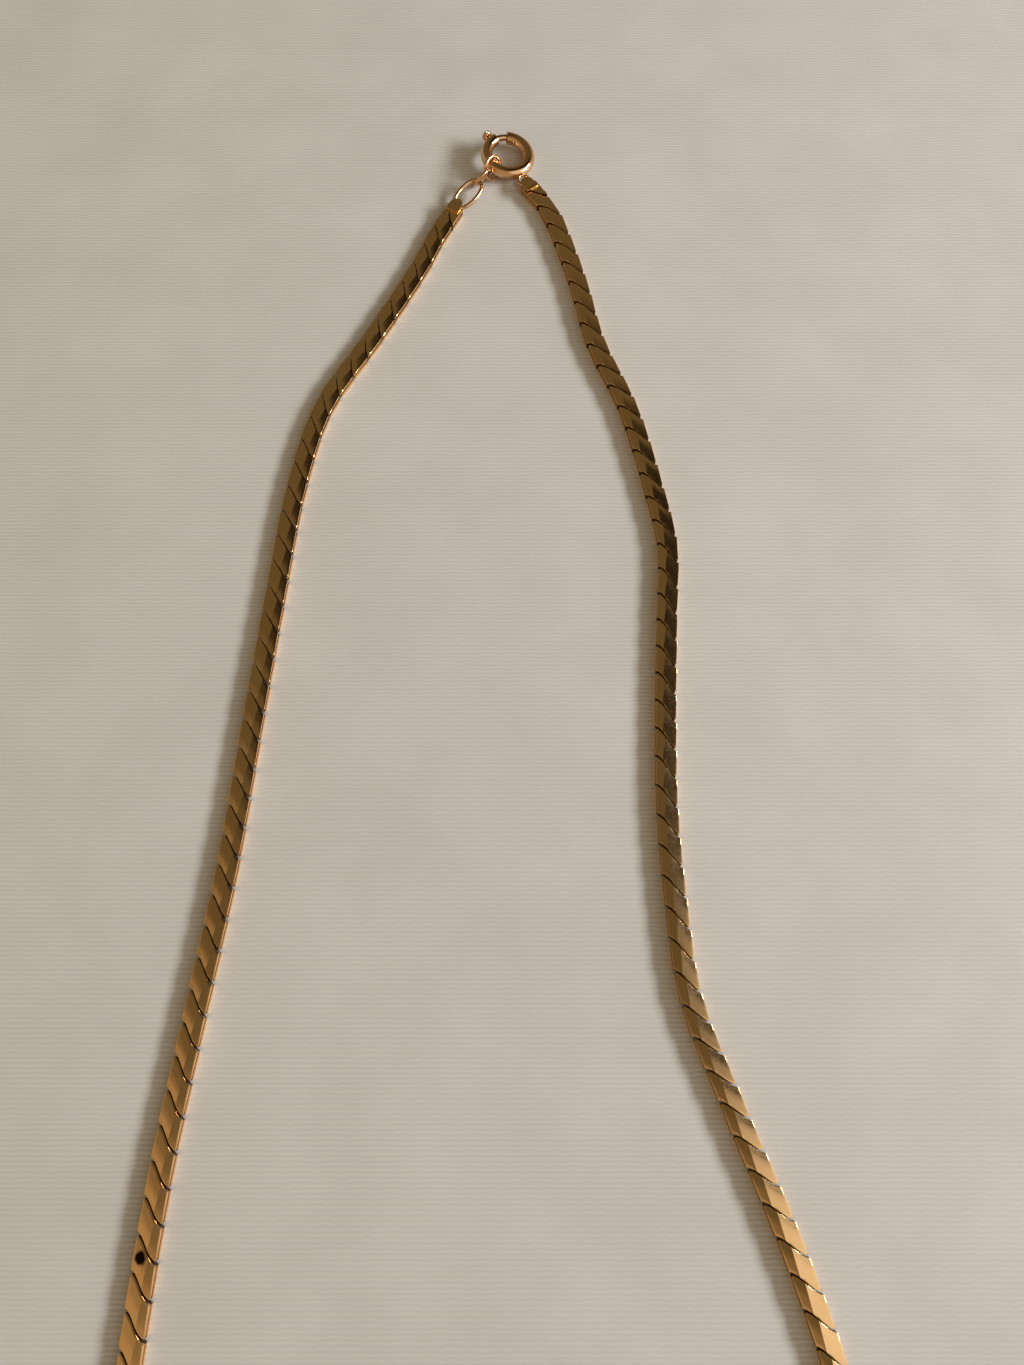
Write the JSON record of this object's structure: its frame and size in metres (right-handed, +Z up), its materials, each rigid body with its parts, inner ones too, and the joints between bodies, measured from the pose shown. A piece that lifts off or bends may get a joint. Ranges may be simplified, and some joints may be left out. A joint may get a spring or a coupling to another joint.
{
  "type": "chain necklace",
  "caption": "Gold-tone flat-link chain necklace with slanted seams, closed by a spring ring clasp and jump rings.",
  "frame": {"origin": "centre of the necklace's footprint, on the surface it lies on", "axes": "+Z up, +Y from the front of the loop towards the clasp, +X to the right of the loop seen from the front"},
  "size_m": [0.0968, 0.2748, 0.0041],
  "materials": {
    "chain_gold": "polished gold plate over brass, lightly worn",
    "clasp_gold": "bright polished gold plate over brass",
    "spring_steel": "drawn spring wire"
  },
  "bodies": {
    "clasp": {"clasp_case": "clasp_gold", "clasp_eye": "clasp_gold", "clasp_spring": "spring_steel"},
    "bolt": {"clasp_bolt": "clasp_gold", "clasp_thumb_tab": "clasp_gold"},
    "hook_ring": {"hook_ring": "clasp_gold"},
    "link_ring": {"link_ring": "clasp_gold"},
    "jump_ring": {"jump_ring": "clasp_gold"},
    "end_right": {"end_link_right": "chain_gold"},
    "end_left": {"end_link_left": "chain_gold"},
    "segment_01": {"chain_segment_01": "chain_gold"},
    "segment_02": {"chain_segment_02": "chain_gold"},
    "segment_03": {"chain_segment_03": "chain_gold"},
    "segment_04": {"chain_segment_04": "chain_gold"},
    "segment_05": {"chain_segment_05": "chain_gold"},
    "segment_06": {"chain_segment_06": "chain_gold"},
    "segment_07": {"chain_segment_07": "chain_gold"},
    "segment_08": {"chain_segment_08": "chain_gold"},
    "segment_09": {"chain_segment_09": "chain_gold"},
    "segment_10": {"chain_segment_10": "chain_gold"},
    "segment_11": {"chain_segment_11": "chain_gold"},
    "segment_12": {"chain_segment_12": "chain_gold"},
    "segment_13": {"chain_segment_13": "chain_gold"},
    "segment_14": {"chain_segment_14": "chain_gold"},
    "segment_15": {"chain_segment_15": "chain_gold"},
    "segment_16": {"chain_segment_16": "chain_gold"},
    "segment_17": {"chain_segment_17": "chain_gold"},
    "segment_18": {"chain_segment_18": "chain_gold"},
    "segment_19": {"chain_segment_19": "chain_gold"},
    "segment_20": {"chain_segment_20": "chain_gold"},
    "segment_21": {"chain_segment_21": "chain_gold"},
    "segment_22": {"chain_segment_22": "chain_gold"},
    "segment_23": {"chain_segment_23": "chain_gold"},
    "segment_24": {"chain_segment_24": "chain_gold"},
    "segment_25": {"chain_segment_25": "chain_gold"},
    "segment_26": {"chain_segment_26": "chain_gold"},
    "segment_27": {"chain_segment_27": "chain_gold"},
    "segment_28": {"chain_segment_28": "chain_gold"},
    "segment_29": {"chain_segment_29": "chain_gold"},
    "segment_30": {"chain_segment_30": "chain_gold"},
    "segment_31": {"chain_segment_31": "chain_gold"},
    "segment_32": {"chain_segment_32": "chain_gold"},
    "segment_33": {"chain_segment_33": "chain_gold"},
    "segment_34": {"chain_segment_34": "chain_gold"},
    "segment_35": {"chain_segment_35": "chain_gold"},
    "segment_36": {"chain_segment_36": "chain_gold"},
    "segment_37": {"chain_segment_37": "chain_gold"},
    "segment_38": {"chain_segment_38": "chain_gold"},
    "segment_39": {"chain_segment_39": "chain_gold"},
    "segment_40": {"chain_segment_40": "chain_gold"},
    "segment_41": {"chain_segment_41": "chain_gold"},
    "segment_42": {"chain_segment_42": "chain_gold"},
    "segment_43": {"chain_segment_43": "chain_gold"},
    "segment_44": {"chain_segment_44": "chain_gold"}
  },
  "joints": [
    {"name": "bolt_slide", "type": "hinge", "parent": "clasp", "child": "bolt", "pos_m": [0.00102, 0.1325, 0.0017], "axis": [0.1511, -0.0405, 0.9877], "range_deg": [0, 42], "stiffness_Nm_per_rad": 0.003, "springref_deg": -17.19, "deforming": ["clasp_spring"]},
    {"name": "hook_ring_spin", "type": "hinge", "parent": "clasp", "child": "hook_ring", "pos_m": [-0.00168, 0.12928, 0.00206], "axis": [-0.7051, 0.5917, -0.3907], "continuous": true},
    {"name": "link_ring_spin", "type": "hinge", "parent": "clasp", "child": "link_ring", "pos_m": [-0.00359, 0.127, 0.00212], "axis": [-0.6943, 0.5826, 0.4226], "continuous": true},
    {"name": "jump_ring_rock", "type": "hinge", "parent": "clasp", "child": "jump_ring", "pos_m": [-0.00614, 0.12396, 0.00141], "axis": [-0.635, -0.7568, -0.1547], "range_deg": [-4, 4]},
    {"name": "fold_right_00", "type": "hinge", "parent": "clasp", "child": "end_right", "pos_m": [0.00444, 0.12649, 0.00093], "axis": [0.9321, 0.3623, 0.0001], "range_deg": [-5, 5]},
    {"name": "fold_left_00", "type": "hinge", "parent": "clasp", "child": "end_left", "pos_m": [-0.00811, 0.12162, 0.00093], "axis": [0.9321, 0.3623, 0.0001], "range_deg": [-5, 5]},
    {"name": "fold_right_01", "type": "hinge", "parent": "end_right", "child": "segment_01", "pos_m": [0.00666, 0.12332, 0.00085], "axis": [0.9777, 0.2099, 0], "range_deg": [-10, 10]},
    {"name": "fold_left_01", "type": "hinge", "parent": "end_left", "child": "segment_44", "pos_m": [-0.00899, 0.11997, 0.00085], "axis": [0.9777, 0.2099, 0], "range_deg": [-10, 10]},
    {"name": "fold_right_02", "type": "hinge", "parent": "segment_01", "child": "segment_02", "pos_m": [0.0117, 0.11126, 0.00085], "axis": [0.9925, 0.1221, 0], "range_deg": [-10, 10]},
    {"name": "fold_left_02", "type": "hinge", "parent": "segment_44", "child": "segment_43", "pos_m": [-0.01455, 0.10803, 0.00085], "axis": [0.9925, 0.1221, 0], "range_deg": [-10, 10]},
    {"name": "fold_right_03", "type": "hinge", "parent": "segment_02", "child": "segment_03", "pos_m": [0.01482, 0.09846, 0.00085], "axis": [0.9982, 0.0599, 0], "range_deg": [-10, 10]},
    {"name": "fold_left_03", "type": "hinge", "parent": "segment_43", "child": "segment_42", "pos_m": [-0.02063, 0.09633, 0.00085], "axis": [0.9982, 0.0599, 0], "range_deg": [-10, 10]},
    {"name": "fold_right_04", "type": "hinge", "parent": "segment_03", "child": "segment_04", "pos_m": [0.01882, 0.08593, 0.00085], "axis": [0.9998, 0.0218, 0], "range_deg": [-10, 10]},
    {"name": "fold_left_04", "type": "hinge", "parent": "segment_42", "child": "segment_41", "pos_m": [-0.02724, 0.08493, 0.00085], "axis": [0.9998, 0.0218, 0], "range_deg": [-10, 10]},
    {"name": "fold_right_05", "type": "hinge", "parent": "segment_04", "child": "segment_05", "pos_m": [0.023, 0.07345, 0.00085], "axis": [0.9999, 0.0146, 0], "range_deg": [-10, 10]},
    {"name": "fold_left_05", "type": "hinge", "parent": "segment_41", "child": "segment_40", "pos_m": [-0.03188, 0.07264, 0.00085], "axis": [0.9999, 0.0146, 0], "range_deg": [-10, 10]},
    {"name": "fold_right_06", "type": "hinge", "parent": "segment_05", "child": "segment_06", "pos_m": [0.02579, 0.06056, 0.00085], "axis": [0.9999, 0.0153, 0], "range_deg": [-10, 10]},
    {"name": "fold_left_06", "type": "hinge", "parent": "segment_40", "child": "segment_39", "pos_m": [-0.03408, 0.05965, 0.00085], "axis": [0.9999, 0.0153, 0], "range_deg": [-10, 10]},
    {"name": "fold_right_07", "type": "hinge", "parent": "segment_06", "child": "segment_07", "pos_m": [0.02653, 0.04746, 0.00085], "axis": [0.9999, 0.0151, 0], "range_deg": [-10, 10]},
    {"name": "fold_left_07", "type": "hinge", "parent": "segment_39", "child": "segment_38", "pos_m": [-0.03535, 0.04653, 0.00085], "axis": [0.9999, 0.0151, 0], "range_deg": [-10, 10]},
    {"name": "fold_right_08", "type": "hinge", "parent": "segment_07", "child": "segment_08", "pos_m": [0.02563, 0.03431, 0.00085], "axis": [0.9999, 0.0145, 0], "range_deg": [-10, 10]},
    {"name": "fold_left_08", "type": "hinge", "parent": "segment_38", "child": "segment_37", "pos_m": [-0.03662, 0.0334, 0.00085], "axis": [0.9999, 0.0145, 0], "range_deg": [-10, 10]},
    {"name": "fold_right_09", "type": "hinge", "parent": "segment_08", "child": "segment_09", "pos_m": [0.02493, 0.02114, 0.00085], "axis": [0.9999, 0.0138, 0], "range_deg": [-10, 10]},
    {"name": "fold_left_09", "type": "hinge", "parent": "segment_37", "child": "segment_36", "pos_m": [-0.03782, 0.02028, 0.00085], "axis": [0.9999, 0.0138, 0], "range_deg": [-10, 10]},
    {"name": "fold_right_10", "type": "hinge", "parent": "segment_09", "child": "segment_10", "pos_m": [0.02479, 0.00796, 0.00085], "axis": [0.9999, 0.0129, 0], "range_deg": [-10, 10]},
    {"name": "fold_left_10", "type": "hinge", "parent": "segment_36", "child": "segment_35", "pos_m": [-0.03896, 0.00714, 0.00085], "axis": [0.9999, 0.0129, 0], "range_deg": [-10, 10]},
    {"name": "fold_right_11", "type": "hinge", "parent": "segment_10", "child": "segment_11", "pos_m": [0.02556, -0.0052, 0.00085], "axis": [0.9999, 0.0114, 0], "range_deg": [-10, 10]},
    {"name": "fold_left_11", "type": "hinge", "parent": "segment_35", "child": "segment_34", "pos_m": [-0.04051, -0.00595, 0.00085], "axis": [0.9999, 0.0114, 0], "range_deg": [-10, 10]},
    {"name": "fold_right_12", "type": "hinge", "parent": "segment_11", "child": "segment_12", "pos_m": [0.02759, -0.01819, 0.00085], "axis": [0.9999, 0.0117, 0], "range_deg": [-10, 10]},
    {"name": "fold_left_12", "type": "hinge", "parent": "segment_34", "child": "segment_33", "pos_m": [-0.04234, -0.01901, 0.00085], "axis": [0.9999, 0.0117, 0], "range_deg": [-10, 10]},
    {"name": "fold_right_13", "type": "hinge", "parent": "segment_12", "child": "segment_13", "pos_m": [0.0322, -0.03054, 0.00085], "axis": [0.9998, 0.0201, 0], "range_deg": [-10, 10]},
    {"name": "fold_left_13", "type": "hinge", "parent": "segment_33", "child": "segment_32", "pos_m": [-0.04412, -0.03207, 0.00085], "axis": [0.9998, 0.0201, 0], "range_deg": [-10, 10]},
    {"name": "fold_right_14", "type": "hinge", "parent": "segment_13", "child": "segment_14", "pos_m": [0.03703, -0.04281, 0.00085], "axis": [0.9996, 0.0289, 0], "range_deg": [-10, 10]},
    {"name": "fold_left_14", "type": "hinge", "parent": "segment_32", "child": "segment_31", "pos_m": [-0.04543, -0.04519, 0.00085], "axis": [0.9996, 0.0289, 0], "range_deg": [-10, 10]},
    {"name": "fold_right_15", "type": "hinge", "parent": "segment_14", "child": "segment_15", "pos_m": [0.04127, -0.05529, 0.00085], "axis": [0.9994, 0.0349, 0], "range_deg": [-10, 10]},
    {"name": "fold_left_15", "type": "hinge", "parent": "segment_31", "child": "segment_30", "pos_m": [-0.04625, -0.05834, 0.00085], "axis": [0.9994, 0.0349, 0], "range_deg": [-10, 10]},
    {"name": "fold_right_16", "type": "hinge", "parent": "segment_15", "child": "segment_16", "pos_m": [0.04465, -0.06803, 0.00085], "axis": [0.9993, 0.0381, 0], "range_deg": [-10, 10]},
    {"name": "fold_left_16", "type": "hinge", "parent": "segment_30", "child": "segment_29", "pos_m": [-0.04681, -0.07151, 0.00085], "axis": [0.9993, 0.0381, 0], "range_deg": [-10, 10]},
    {"name": "fold_right_17", "type": "hinge", "parent": "segment_16", "child": "segment_17", "pos_m": [0.04658, -0.08105, 0.00085], "axis": [0.9992, 0.0391, 0], "range_deg": [-10, 10]},
    {"name": "fold_left_17", "type": "hinge", "parent": "segment_29", "child": "segment_28", "pos_m": [-0.04656, -0.0847, 0.00085], "axis": [0.9992, 0.0391, 0], "range_deg": [-10, 10]},
    {"name": "fold_right_18", "type": "hinge", "parent": "segment_17", "child": "segment_18", "pos_m": [0.04641, -0.09422, 0.00085], "axis": [0.9993, 0.0384, 0], "range_deg": [-10, 10]},
    {"name": "fold_left_18", "type": "hinge", "parent": "segment_28", "child": "segment_27", "pos_m": [-0.04471, -0.09772, 0.00085], "axis": [0.9993, 0.0384, 0], "range_deg": [-10, 10]},
    {"name": "fold_right_19", "type": "hinge", "parent": "segment_18", "child": "segment_19", "pos_m": [0.04332, -0.10701, 0.00085], "axis": [0.9993, 0.037, 0], "range_deg": [-10, 10]},
    {"name": "fold_left_19", "type": "hinge", "parent": "segment_27", "child": "segment_26", "pos_m": [-0.04025, -0.1101, 0.00085], "axis": [0.9993, 0.037, 0], "range_deg": [-10, 10]},
    {"name": "fold_right_20", "type": "hinge", "parent": "segment_19", "child": "segment_20", "pos_m": [0.03721, -0.11863, 0.00085], "axis": [0.9995, 0.0314, 0], "range_deg": [-10, 10]},
    {"name": "fold_left_20", "type": "hinge", "parent": "segment_26", "child": "segment_25", "pos_m": [-0.03265, -0.12082, 0.00085], "axis": [0.9995, 0.0314, 0], "range_deg": [-10, 10]},
    {"name": "fold_right_21", "type": "hinge", "parent": "segment_20", "child": "segment_21", "pos_m": [0.0274, -0.12737, 0.00085], "axis": [0.9994, 0.0346, 0], "range_deg": [-10, 10]},
    {"name": "fold_left_21", "type": "hinge", "parent": "segment_25", "child": "segment_24", "pos_m": [-0.02243, -0.12909, 0.00085], "axis": [0.9994, 0.0346, 0], "range_deg": [-10, 10]},
    {"name": "fold_right_22", "type": "hinge", "parent": "segment_21", "child": "segment_22", "pos_m": [0.01559, -0.13315, 0.00085], "axis": [0.9991, 0.0416, 0], "range_deg": [-10, 10]},
    {"name": "fold_left_22", "type": "hinge", "parent": "segment_24", "child": "segment_23", "pos_m": [-0.01033, -0.13423, 0.00085], "axis": [0.9991, 0.0416, 0], "range_deg": [-10, 10]}
  ],
  "couplings": [
    {"joint": "fold_left_00", "follows": "fold_right_00", "ratio": 1},
    {"joint": "fold_left_01", "follows": "fold_right_01", "ratio": 1},
    {"joint": "fold_left_02", "follows": "fold_right_02", "ratio": 1},
    {"joint": "fold_left_03", "follows": "fold_right_03", "ratio": 1},
    {"joint": "fold_left_04", "follows": "fold_right_04", "ratio": 1},
    {"joint": "fold_left_05", "follows": "fold_right_05", "ratio": 1},
    {"joint": "fold_left_06", "follows": "fold_right_06", "ratio": 1},
    {"joint": "fold_left_07", "follows": "fold_right_07", "ratio": 1},
    {"joint": "fold_left_08", "follows": "fold_right_08", "ratio": 1},
    {"joint": "fold_left_09", "follows": "fold_right_09", "ratio": 1},
    {"joint": "fold_left_10", "follows": "fold_right_10", "ratio": 1},
    {"joint": "fold_left_11", "follows": "fold_right_11", "ratio": 1},
    {"joint": "fold_left_12", "follows": "fold_right_12", "ratio": 1},
    {"joint": "fold_left_13", "follows": "fold_right_13", "ratio": 1},
    {"joint": "fold_left_14", "follows": "fold_right_14", "ratio": 1},
    {"joint": "fold_left_15", "follows": "fold_right_15", "ratio": 1},
    {"joint": "fold_left_16", "follows": "fold_right_16", "ratio": 1},
    {"joint": "fold_left_17", "follows": "fold_right_17", "ratio": 1},
    {"joint": "fold_left_18", "follows": "fold_right_18", "ratio": 1},
    {"joint": "fold_left_19", "follows": "fold_right_19", "ratio": 1},
    {"joint": "fold_left_20", "follows": "fold_right_20", "ratio": 1},
    {"joint": "fold_left_21", "follows": "fold_right_21", "ratio": 1},
    {"joint": "fold_left_22", "follows": "fold_right_22", "ratio": 1}
  ]
}
